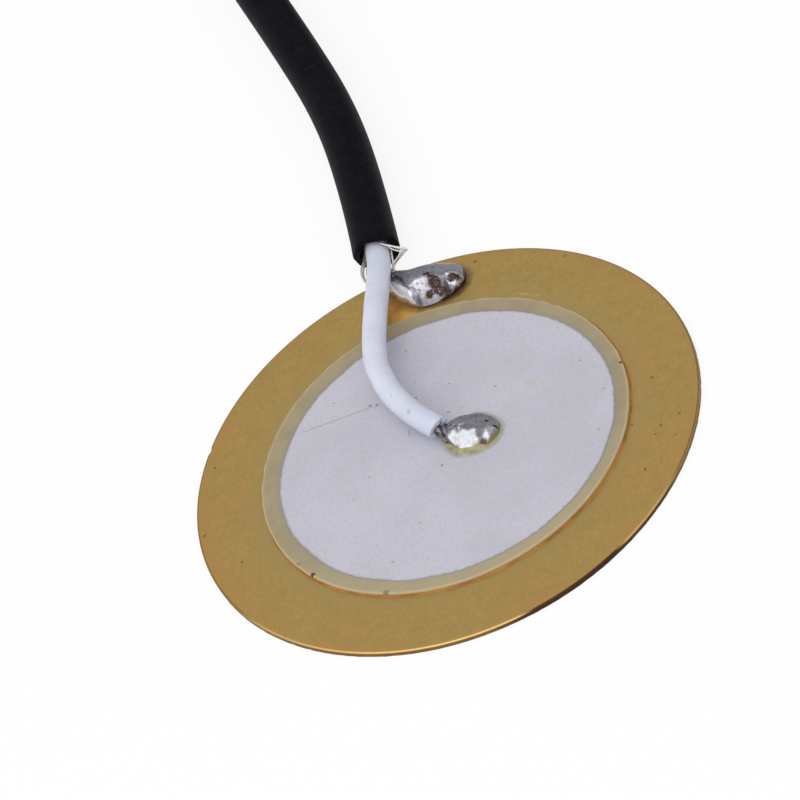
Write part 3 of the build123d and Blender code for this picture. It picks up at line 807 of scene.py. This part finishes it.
centre_seat = array([(1.5, -0.24, 0.54), (0.8896, -0.4568, 0), (0.4568, 0.8896, 0)])
x, y, z = drop([
    (-1.74, 0.04, 0, 0.4), (-1.74, 0.04, 0.24, 0.54), (-1.34, 0.09, 0.44, 0.62), (-0.98, 0.11, 0.78, 0.66),
    (-0.57, 0.06, 1.03, 0.66), (-0.09, -0.02, 1.17, 0.66), (0.32, 0, 1.15, 0.66), (0.7, 0.01, 1.02, 0.64),
    (1.01, 0, 0.88, 0.56), (1.25, 0.04, 0.64, 0.44), (1.47, 0.12, 0.36, 0.3), (1.49, 0.14, 0, 0.15),
])
crinkled = partial(crinkle, x, y)
blob_inside = clip(z / 0.25, 0, 1)
blob_wave = 0.009 * crinkled(0.9, 52)
bright_slope = 0.54 - 0.72 * (-0.03 * x - y - 0.36) + blob_wave
z = lowest([
    z,
    bright_slope,
    0.62 - 0.76 * (0.62 * x - 0.78 * y - 0.74) + blob_wave,
    bright_slope - 0.35 * (0.6 * x - 0.8 * y - 0.86),
    0.62 - 0.16 * (0.3 * x + 0.95 * y - 0.1),
    0.64 - 0.5 * (0.5 * x + 0.87 * y - 0.55),
], 0.016)
near_by = shaken(x, y, 0.03, 1.6, 58)
# Facets that face the lamp, made smoother and painted lighter: painted highlight.
blob_facet_highlight = inside(*near_by, [(-1.22, -0.5), (-0.8, -0.24), (0.41, -0.27), (0.63, -0.8), (-0.04, -1.21)])
blob_facet_highlight = blob_facet_highlight + inside(*near_by, [(0.86, -0.64), (1.08, -0.1), (1.42, 0.06), (1.2, -0.62)])
# Outside those facets the front is painted darker as painted shade; the crown keeps its own dullness.
painted_front_shade = fade(y + 0.25, 0.06)
blob_dull_shade_and_glint = (1 + 0.5 * painted_front_shade) * (1 - blob_facet_highlight) + 0.12 * crinkled(1, 51)
crown_crinkle = 0.008 * crinkled(1.2, 53) + 0.005 * crinkled(4, 54)
z = z + blob_inside * (1 - blob_facet_highlight) * crown_crinkle
z = z + blob_inside * 0.003 * crinkled(2.4, 55)
# Three small beads on the crown, each with a painted glint.
for at_x, at_y in ((-0.48, 0.11), (-0.47, -0.1), (-0.36, 0.14)):
    painted_glint_bead = hump(x - at_x, y - at_y, 0.055, 0.055)
    z, blob_dull_shade_and_glint = z + 0.03 * painted_glint_bead, blob_dull_shade_and_glint * (1 - painted_glint_bead) - 1.5 * painted_glint_bead
blob_pits = 0 * x
for at_x, at_y, size, depth, dark in (
    (-1.14, 0.46, 0.1, 0.06, 1), (0.88, 0.41, 0.13, 0.06, 1), (1.38, 0.09, 0.09, 0.04, 1),
    (0.84, -0.76, 0.19, 0.05, 0.8), (-0.74, 0.04, 0.06, 0.03, 0.9), (-1.02, 0.12, 0.08, 0.03, 0.8),
    (-1.3, 0.2, 0.08, 0.03, 0.9), (0.1, 0, 0.1, 0.01, 0.5), (-0.15, 0.08, 0.12, 0.01, 0.5),
    (0.3, 0.05, 0.08, 0.01, 0.5), (0.55, -0.92, 0.12, 0.02, 0.5),
):
    aside = x - at_x + 0.03 * crinkled(3, 57)
    hollow = exp(-((hypot(0.75 * aside, 1.2 * (y - at_y)) / size) ** 4))
    z = z - depth * hollow
    blob_pits = maximum(blob_pits, dark * hollow)
# Low wall of the centre blob: rosin with a painted reflection of the metal round it.
blob_amber_and_reflection = clip(1.4 - z / 0.27, 0, 1) * fade(0.25 - x, 0.15) * fade(y - 0.25, 0.15)

solder, spot = start_finish("frozen_solder")
frost = spot.noise(6000, 3, 0.6)
coarse = spot.noise(2400, 4, 0.65)
speck = spot.noise(5200, 5, 0.75)
scale = spot.noise(7500, 4, 0.7)
# The dull mask runs from the solder's own dullness, 0 to 1, into painted shade above 1 and painted highlight
# below about -0.45, where the metal is also made less metallic.
shade = spot.mask("dull") + 0.5 * (coarse - 0.5)
dull, painted_gleam = shade.step(0, 1), 1 - shade.step(-1, -0.45)
burnt = (spot.mask("burnt") + 1.8 * (speck - 0.5)).step(0.4, 0.66)
# Amber on the low walls: rosin with a painted reflection of the metal round the joint.
amber = (spot.mask("amber") + 0.6 * (coarse - 0.5)).step(0.25, 0.85)
dull_grey = frost.step(0.36, 0.64).blend((160, 159, 168), (136, 134, 141))
crust = scale.step(0.4, 0.62).blend((18, 11, 10), (84, 50, 40))
paint(
    solder, Base_Color=coated(
        frost.step(0.34, 0.66).blend((194, 194, 199), (174, 174, 181)),
        (dull, 1, dull_grey),
        # Painted shade where the dull mask passes 1.
        (shade.step(1, 1.7), 1, (92, 90, 94)),
        # Painted highlight.
        (painted_gleam, 1, (226, 226, 231)),
        (amber, 0.85, (156, 142, 92)),
        (spot.mask("pitted").step(0.15, 1), 1, (40, 37, 36)),
        (burnt, 1, coated(crust, (scale.step(0.63, 0.68), 1, (190, 170, 160)))),
    ),
    Metallic=1 - 0.6 * burnt.most(amber).most(painted_gleam),
    Roughness=0.17 + 0.14 * dull + 0.12 * frost,
    Normal=(frost + 1.5 * speck * burnt).bump(0.00003, 0.45),
)


def solder_joint(name, node, body, stem, **masks):
    """Joint of two grids, a drop and a stem of solder: each mask has its values on the one and the other."""
    plain = np.zeros(stem.shape[:2])
    layers = {mask: [topside(on_drop), plain + on_stem] for mask, (on_drop, on_stem) in masks.items()}
    skin(name, solder, [body, stem], [node], layers)


stalk_bend, stalk_foot = core_end + 0.34 * end_run - 0.08 * up, core_end + 0.8 * end_run - 0.48 * up
stalk_line = smooth_line([core_end, stalk_bend, stalk_foot], 12)
stalk_turn = round_turn(40)
stalk_share = linspace(0, 1, len(stalk_line))[:, None]
stalk_lumps = waver(stalk_turn, 2, 7, 67) * (1 + 0.6 * sin(8 * stalk_share + 1))
stalk = rod(stalk_line, 0.26 + 0.05 * stalk_share + 0.03 * stalk_lumps, stalk_turn.size)
stalk_rows = linspace(0, 1, len(stalk))[:, None]
solder_joint(
    "centre_joint", "centre_solder", on_metal(x, y, z, centre_seat), stalk,
    dull=(blob_dull_shade_and_glint, 1.3), burnt=(0 * x - 1, 0.34),
    pitted=(blob_pits, 0.4 + 0.5 * sin(4 * stalk_turn + 9 * stalk_rows)), amber=(blob_amber_and_reflection, 0),
)

halo_turn, halo_long, halo_wide = round_turn(220), 1.74, 1.54
halo_reach = 1 / hypot(cos(halo_turn) / halo_long, sin(halo_turn) / halo_wide)
halo_reach = halo_reach * (1 + 0.02 * waver(halo_turn, 2, 8, 56))
halo_grid, halo_depth = film(
    halo_reach * cos(halo_turn), halo_reach * sin(halo_turn), (0.05, -0.07), centre_seat, 0.05
)
pale_flux, spot = start_finish("clear_rosin", IOR=1.52, Coat_Weight=0.6, Coat_Roughness=0.05)
ripple = spot.noise(1800, 2)
paint(
    pale_flux, Base_Color=ripple.step(0.35, 0.65).blend((198, 193, 140), (160, 148, 88)),
    Roughness=0.12 + 0.1 * ripple,
    Alpha=spot.mask("thin") * (0.5 + 0.5 * ripple),
    Normal=ripple.bump(0.00003, 0.5),
)
skin("centre_rosin", pale_flux, [halo_grid], ["centre_flux"], {"thin": [halo_depth]})


# Rim joint: a long leaf of solder drawn out along the brass, which holds the pigtail to the plate. It
# froze with ridges and a groove, and burnt brown rosin is stuck on it and round it. The bright ridge and
# other lit parts are painted highlight, and the grey front, left side and groove are painted shade.

rim_seat = (rim_middle, rim_along, rim_out)
x, y, z = drop([
    (1.9, 0.06, 0, 0.1), (1.91, 0.06, 0.46, 0.38), (1.7, 0.05, 0.7, 0.62), (1.26, -0.03, 1, 0.84),
    (0.85, -0.09, 1.17, 0.97), (0.32, -0.08, 1.28, 1.06), (-0.32, -0.05, 1.32, 1.08),
    (-0.83, 0.02, 1.26, 1.04), (-1.33, 0.27, 1.15, 0.98), (-1.69, 0.53, 1.05, 0.86),
    (-1.95, 0.78, 0.95, 0.66), (-2.18, 1.05, 0.72, 0.44), (-2.4, 1.25, 0.45, 0.32), (-2.52, 1.3, 0, 0.15),
])
crinkled = partial(crinkle, x, y)
leaf_inside = clip(z / 0.3, 0, 1)
leaf_wave = 0.02 * crinkled(0.7, 63)
z = lowest([
    z,
    1 - 0.62 * (0.1 * x - 0.99 * y - 0.3) + leaf_wave,
    1.4 * (y + 1.43) + 0.1 * x,
    0.7 - 0.8 * (-y - 0.46) + 1.5 * clip(1.05 - x, 0, None) + leaf_wave,
    0.78 - 0.55 * (0.98 * x + 0.2 * y - 1.25),
    1.02 - 0.18 * (0.1 * x + 0.99 * y - 0.3),
], 0.022)
groove_way = unit(array([0.84, -1.7]))
groove_x, groove_y = x + 1.88, y - 1.11
groove_along = groove_x * groove_way[0] + groove_y * groove_way[1]
groove_across = groove_x * groove_way[1] - groove_y * groove_way[0] + 0.05 * crinkled(0.8, 60)
groove = exp(-(groove_across / 0.1) ** 2) * fade(groove_along - 1.85, 0.1)
# A band of painted highlight along the ridge on the lower left.
ridge_across = (x + 2.09) * -0.79 - (y - 0.41) * 0.613 + 0.04 * crinkled(1.2, 68)
painted_ridge_highlight = exp(-((ridge_across + 0.07) / 0.29) ** 4) * fade(x + 0.86, 0.06)
crumpled = hump(x + 0.5, y + 0.6, 0.55, 0.42) * crinkled(2.8, 62)
z = z + leaf_inside * (0.01 * crinkled(0.9, 61) + 0.024 * crumpled - 0.1 * groove)
leaf_burnt = 0 * x
for at_x, at_y, size_x, size_y, lean in (
    (0.1, -0.06, 0.22, 0.14, 0), (0.44, -0.58, 0.3, 0.46, -0.25), (0.66, -1.02, 0.36, 0.2, 0),
    (1.42, -0.44, 0.3, 0.19, 0.1), (0.05, -1.02, 0.22, 0.16, 0),
):
    leaning = hump(x - at_x - lean * (y - at_y), y - at_y, size_x, size_y)
    leaf_burnt = maximum(leaf_burnt, leaning ** 0.69)
low_wall = clip(1.3 - z / 0.4, 0, 1) * fade(0.5 - x, 0.12) * fade(y - 0.3, 0.15)
leaf_burnt = maximum(leaf_burnt, 0.9 * low_wall)
z = z + leaf_inside * 0.02 * clip(leaf_burnt - 0.4, 0, 1)
# Lit parts, painted lighter and smoother as painted highlight: the crushed patch, a low glint and the rim
# round the right-hand patch.
crushed_highlight = inside(
    *shaken(x, y, 0.05, 2, 69),
    [(-1.05, -0.42), (-0.62, -0.02), (0.02, -0.2), (0.1, -0.98), (-0.45, -1.06)], 0.06,
)
low_glint = inside(x, y, [(-0.5, -1.12), (0.42, -1.12), (0.42, -1.45), (-0.5, -1.45)])
patch_away = hypot((x - 1.42) / 0.3, (y + 0.44) / 0.2) + 0.1 * crinkled(2, 71)
patch_rim_highlight = exp(-((patch_away - 1.4) / 0.3) ** 4)
leaf_highlight = np.max([0.8 * crushed_highlight, 0.35 * low_glint, patch_rim_highlight, painted_ridge_highlight], axis=0)
# Grey painted shade: darker on the left, at the front and in the groove.
leaf_painted_shade = 1 - 0.15 * x + 0.5 * fade(y + 0.3, 0.12) + 0.4 * groove
leaf_dull_shade_and_glint = leaf_painted_shade * (1 - leaf_highlight) + 0.12 * crinkled(0.8, 72)
leaf_dull_shade_and_glint = leaf_dull_shade_and_glint - 1.6 * painted_ridge_highlight * clip(z / 0.15 - 0.7, 0, 1)
# Low wall on the left of the rim joint: rosin with a painted reflection of the brass.
leaf_amber_and_reflection = clip(1.3 - z / 0.26, 0, 1) * fade(x + 0.5, 0.12) * fade(y - 0.7, 0.1)
leaf_amber_and_reflection = maximum(leaf_amber_and_reflection, 0.9 * hump(x + 0.12, y + 1.06, 0.24, 0.16))
neck_start = pigtail_end - 0.1 * rim_along + 0.15 * rim_out
neck_line = smooth_line(
    [neck_start, pigtail_end, in_rim(-0.82, 0.84, 0.3), in_rim(-0.66, 0.4, 0.38)], 12
)
neck_share = linspace(0, 1, len(neck_line))[:, None]
neck_radius = 0.2 + 0.04 * neck_share + 0.012 * waver(neck_share * 2 * pi, 2, 6, 65)
neck_grid = rod(neck_line, neck_radius, 28)
solder_joint(
    "rim_joint", "rim_solder", on_metal(x, y, z, rim_seat), neck_grid,
    dull=(leaf_dull_shade_and_glint, 0.5), burnt=(leaf_burnt, -1), pitted=(0 * x, 0), amber=(leaf_amber_and_reflection, 0),
)

stain_reach = 1 + 0.03 * waver(halo_turn, 3, 16, 66)
stain_x, stain_y = 2.33 * cos(halo_turn) * stain_reach, 1.576 * sin(halo_turn) * stain_reach
stain_grid, stain_depth = film(stain_x, stain_y, (-0.02, -0.06), rim_seat, 0.12)
burnt_side = exp(-((np.angle(exp(1j * halo_turn)) + 0.35) / 0.9) ** 2)
stain_depth = stain_depth ** 0.7 * (0.28 + 0.72 * burnt_side)
burnt_flux, spot = start_finish("burnt_rosin", IOR=1.52, Coat_Weight=0.5, Coat_Roughness=0.08)
char = spot.noise(1600, 3).step(0.38, 0.64)
paint(
    burnt_flux, Base_Color=char.blend((122, 86, 52), (88, 58, 36)),
    Roughness=0.16 + 0.15 * char,
    Alpha=spot.mask("thin") * (0.6 + 0.35 * char),
    Normal=char.bump(0.00003, 0.3),
)
skin("rim_rosin", burnt_flux, [stain_grid], ["rim_flux"], {"thin": [stain_depth]})


# Tie: a black plastic band bent round the coil's three turns, which lie side by side in it. It is one
# moulded strip, pulled tight by hand.

tie_long, tie_tall, tie_wide, tie_thick, tie_round, tie_bevel = 7.9, 2.75, 2.2, 0.35, 0.5, 0.06
tie_middle = np.append(coil_middle + lead_run * 13, tie_tall / 2)


def rounded_box(long, tall, radius):
    """Outline of a box with rounded corners, as points (along, up) round it."""
    outline = []
    for number, side in enumerate(((1, 1), (-1, 1), (-1, -1), (1, -1))):
        angle = linspace(0, pi / 2, 8) + number * pi / 2
        corner = array(side) * (array([long, tall]) / 2 - radius)
        outline.append(corner + radius * stack([cos(angle), sin(angle)], axis=-1))
    return concatenate(outline)


tie_outer = rounded_box(tie_long, tie_tall, tie_round)
tie_edge = rounded_box(tie_long - 2 * tie_bevel, tie_tall - 2 * tie_bevel, tie_round - tie_bevel)
tie_inner = rounded_box(tie_long - 2 * tie_thick, tie_tall - tie_thick, tie_round - 0.15)
tie_inner = tie_inner - (0, tie_thick / 2)
tie_grid = stack([
    tie_middle + share * tie_wide / 2 * np.append(lead_left, 0)
    + outline[:, :1] * np.append(lead_run, 0) + outline[:, 1:] * up
    for share, outline in (
        (-1, tie_edge), (-0.9, tie_outer), (0.9, tie_outer), (1, tie_edge), (1, tie_inner),
        (-1, tie_inner), (-1, tie_edge),
    )
])
tie_plastic, spot = start_finish("tie_plastic", IOR=1.5)
ribbed = spot.noise(2500, 3)
paint(
    tie_plastic, Base_Color=ribbed.blend((30, 30, 33), (48, 48, 52)),
    Roughness=0.45 + 0.2 * ribbed,
    Normal=ribbed.bump(0.00003, 0.5),
)
tie = skin("tie", tie_plastic, [tie_grid], ["coil_tie"])


# Far end of the lead: the core and the braid, bared and parted; the conductor and the twisted braid are
# tinned so that their strands stay together.

tail_start, tail_bend = array([3.897, 50.805, 1.2]), array([3.65, 52.815, 1.2])
core_tip, conductor_tip = array([4.697, 55.058, 1.2]), array([5.966, 57.777, 1.2])
tail_run = unit(conductor_tip - core_tip)
before_bend = tail_start + 0.7 * (tail_bend - tail_start)
after_bend = tail_bend + 0.3 * (core_tip - tail_bend)
tail_line = smooth_line([tail_start, before_bend, tail_bend, after_bend, core_tip])
tail_body = tube(tail_line, core_radius, 36)
tail_face = stack([core_tip + 0.02 * tail_run + (tail_body[-1] - core_tip) * s for s in (0.96, 0.42, 0)])
tail_core = skin(
    "far_core", core_plastic,
    [concatenate([tail_line[0] + 0 * tail_body[:1], tail_body, tail_face])], ["tail_core"],
)
far_conductor = skin(
    "far_conductor", tinned,
    twisted(core_tip - 0.2 * tail_run, conductor_tip, 0.25, 6, 420, 0.2, 0.2), ["tail_conductor"],
)
shield_root = array([4.884, 50.926, 0.95])
shield_tip = shield_root + 4.5 * array([0.6562, 0.7546, 0])
far_shield = skin(
    "far_shield", tinned,
    twisted(shield_root, shield_tip, 0.25, 8, 520, 0.17, 0.2), ["tail_shield"],
)


# Studio: a white table, a large soft lamp at the left and near side, and a bright room all round. The
# camera stands where the photograph's did.

floor_half, floor_height = 2, -2e-6
floor_mesh = bpy.data.meshes.new("floor")
floor_mesh.from_pydata(
    [(x * floor_half, y * floor_half, floor_height) for x, y in ((-1, -1), (1, -1), (1, 1), (-1, 1))],
    [], [(0, 1, 2, 3)],
)
floor = placed("floor", floor_mesh)
white, spot = start_finish("white_table", Base_Color=(0.94, 0.94, 0.94, 1), Roughness=0.9)
rays = spot.tree.nodes.new("ShaderNodeLightPath").outputs
seen = Value(spot.tree, rays["Is Camera Ray"]).most(Value(spot.tree, rays["Is Glossy Ray"]))
glow = spot.node("Emission", {}, {"Color": (1, 1, 1, 1), "Strength": 1})
lit = Value(spot.tree, spot.tree.nodes["Principled BSDF"].outputs[0])
table = spot.node("MixShader", {}, {0: 0.86 * seen, 1: lit, 2: glow})
spot.tree.links.new(table.output, spot.tree.nodes["Material Output"].inputs["Surface"])
floor_mesh.materials.append(white)

key_from, key_distance = Vector((-0.32, -0.45, 0.83)).normalized(), 0.3
key_data = bpy.data.lights.new("key", "AREA")
key_data.shape, key_data.size, key_data.energy = "DISK", 0.46, 0.5
key = placed("key", key_data)
key.location = key_from * key_distance
key.rotation_euler = key_from.to_track_quat("Z", "Y").to_euler()

world = bpy.data.worlds.new("room")
bpy.context.scene.world = world
world.use_nodes = True
sky = Value(world.node_tree, world.node_tree.nodes.new("ShaderNodeTexCoord").outputs["Generated"])
near = sky.toward((-0.35, -0.75, 0.55)).step(-0.5, 0.9)
room = near.blend((0.6, 0.6, 0.61, 1), (0.78, 0.78, 0.78, 1))
world.node_tree.links.new(room.output, world.node_tree.nodes["Background"].inputs["Color"])

view_turn, view_height, view_roll, view_distance = radians(6.151946), 0.7392647, -0.4872494, 0.35
image_width, focal_pixels, sensor_width = 800, 6943.17, 36
disc_right, disc_up = 47.606, -49.691
level_way = Vector((sin(view_turn), -cos(view_turn), 0)) * cos(view_height)
towards_camera = level_way + Vector((0, 0, sin(view_height)))
aim = Vector((disc_right, disc_up, -focal_pixels)).rotation_difference(Vector((0, 0, -1))).to_matrix()
turn = (
    Matrix.Rotation(view_turn, 3, "Z") @ Matrix.Rotation(pi / 2 - view_height, 3, "X")
    @ Matrix.Rotation(view_roll, 3, "Z") @ aim
)
camera_data = bpy.data.cameras.new("camera")
camera_data.sensor_width, camera_data.clip_start = sensor_width, 0.01
camera_data.lens = focal_pixels / image_width * sensor_width
camera = placed("camera", camera_data)
camera.matrix_world = Matrix.Translation(towards_camera * view_distance) @ turn.to_4x4()
bpy.context.scene.camera = camera
bpy.context.scene.view_settings.view_transform = "Standard"
